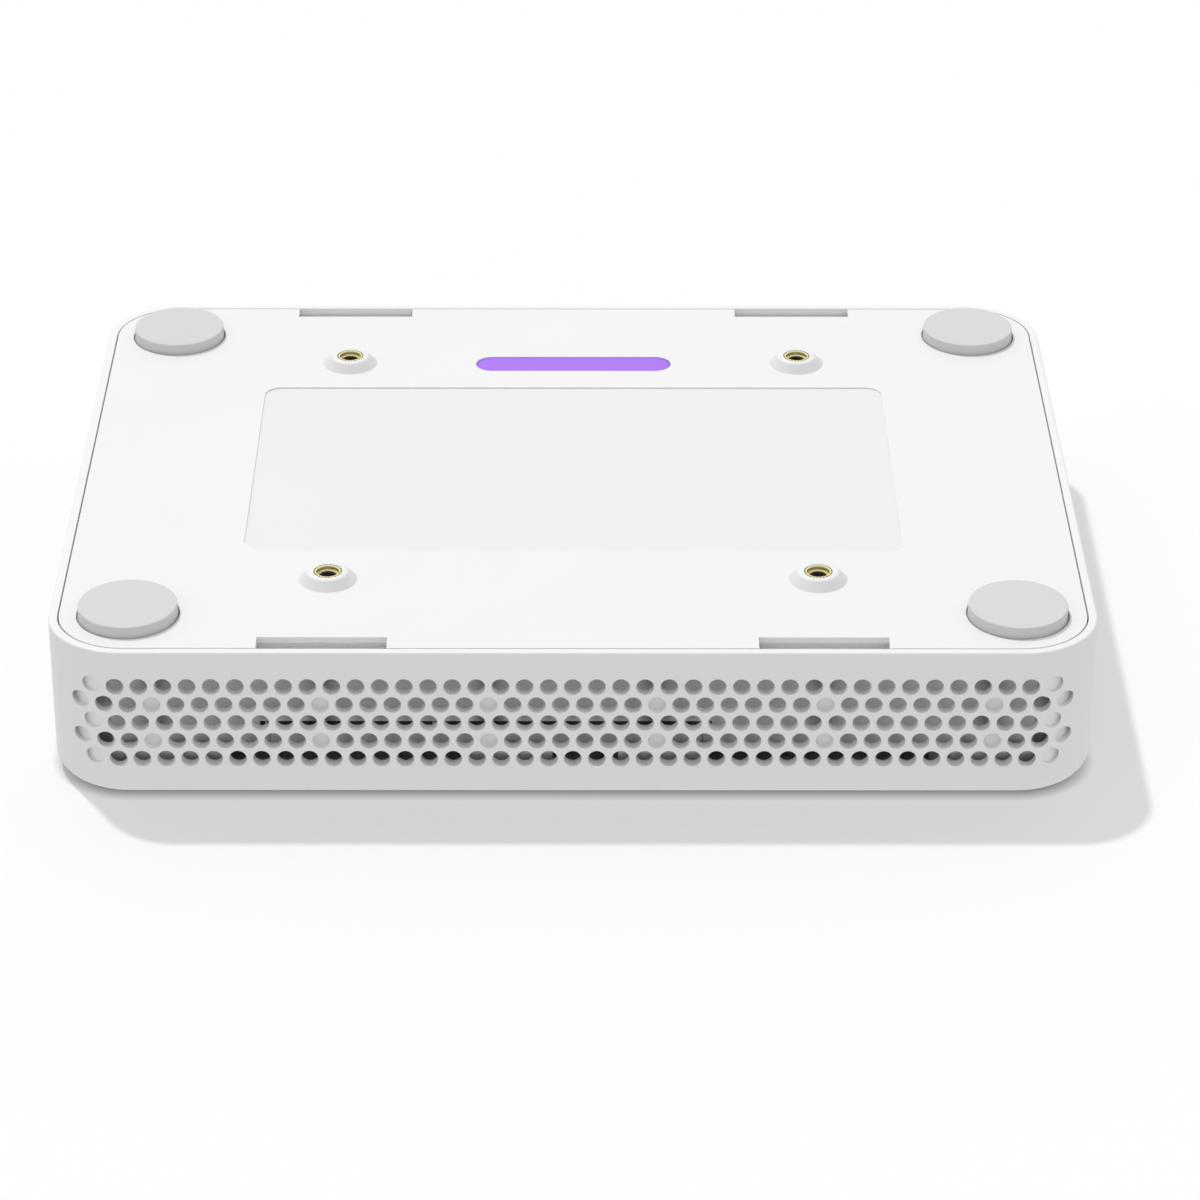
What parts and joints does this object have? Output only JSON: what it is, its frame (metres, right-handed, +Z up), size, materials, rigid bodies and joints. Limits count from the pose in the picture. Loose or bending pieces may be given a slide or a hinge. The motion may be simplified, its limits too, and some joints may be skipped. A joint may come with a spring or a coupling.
{
  "type": "wireless router",
  "caption": "Flat white wireless router with rounded corners, a perforated front wall, rubber feet and threaded mounting inserts underneath.",
  "frame": {"origin": "on the surface that the feet stand on, under the middle of the body", "axes": "+Z up out of the top face, perforated front wall towards -Y, sockets and buttons towards +Y, longest side along X"},
  "size_m": [0.211, 0.1606, 0.0359],
  "materials": {
    "case_white": "fine matt moulded",
    "inlay_purple": "satin",
    "foot_rubber": "matt",
    "brass": "turned",
    "screw_steel": "zinc plated",
    "sink_aluminium": "satin",
    "board": "solder mask",
    "black_plastic": "moulded",
    "grey_plastic": "moulded",
    "shield_steel": "tin plated",
    "thermal_pad": "soft matt",
    "antenna_metal": "tin plated",
    "lead_sleeve": "smooth",
    "light_clear": "frosted"
  },
  "bodies": {
    "router": {"top_cover": "case_white", "bottom_plate": "case_white", "pill_inlay": "inlay_purple", "foot_front_left": "foot_rubber", "foot_front_right": "foot_rubber", "foot_rear_left": "foot_rubber", "foot_rear_right": "foot_rubber", "threaded_insert_front_left": "brass", "threaded_insert_front_right": "brass", "threaded_insert_rear_left": "brass", "threaded_insert_rear_right": "brass", "case_screw_front_left": "screw_steel", "case_screw_front_right": "screw_steel", "case_screw_rear_left": "screw_steel", "case_screw_rear_right": "screw_steel", "main_board": "board", "board_screw_front_left": "screw_steel", "board_screw_front_right": "screw_steel", "board_screw_rear_left": "screw_steel", "board_screw_rear_right": "screw_steel", "processor": "black_plastic", "processor_thermal_pad": "thermal_pad", "memory_chip_left": "black_plastic", "memory_chip_right": "black_plastic", "radio_shield_left": "shield_steel", "radio_shield_right": "shield_steel", "lower_heatsink": "sink_aluminium", "upper_heatsink": "sink_aluminium", "upper_thermal_pad": "thermal_pad", "wan_jack": "grey_plastic", "lan_jack_1": "grey_plastic", "lan_jack_2": "grey_plastic", "lan_jack_3": "grey_plastic", "power_inlet": "black_plastic", "wps_switch": "black_plastic", "reset_switch": "black_plastic", "antenna_1": "antenna_metal", "antenna_2": "antenna_metal", "antenna_3": "antenna_metal", "antenna_4": "antenna_metal", "antenna_lead_1": "lead_sleeve", "antenna_lead_2": "lead_sleeve", "antenna_lead_3": "lead_sleeve", "antenna_lead_4": "lead_sleeve", "status_light_pipe": "light_clear", "status_led": "light_clear"},
    "wps_cap": {"wps_button": "grey_plastic"},
    "reset_cap": {"reset_button": "grey_plastic"}
  },
  "joints": [
    {"name": "wps_press", "type": "slide", "parent": "router", "child": "wps_cap", "axis": [0, -1, 0], "range_m": [0, 0.0008], "stiffness_N_per_m": 1500},
    {"name": "reset_press", "type": "slide", "parent": "router", "child": "reset_cap", "axis": [0, -1, 0], "range_m": [0, 0.0006], "stiffness_N_per_m": 1500}
  ]
}
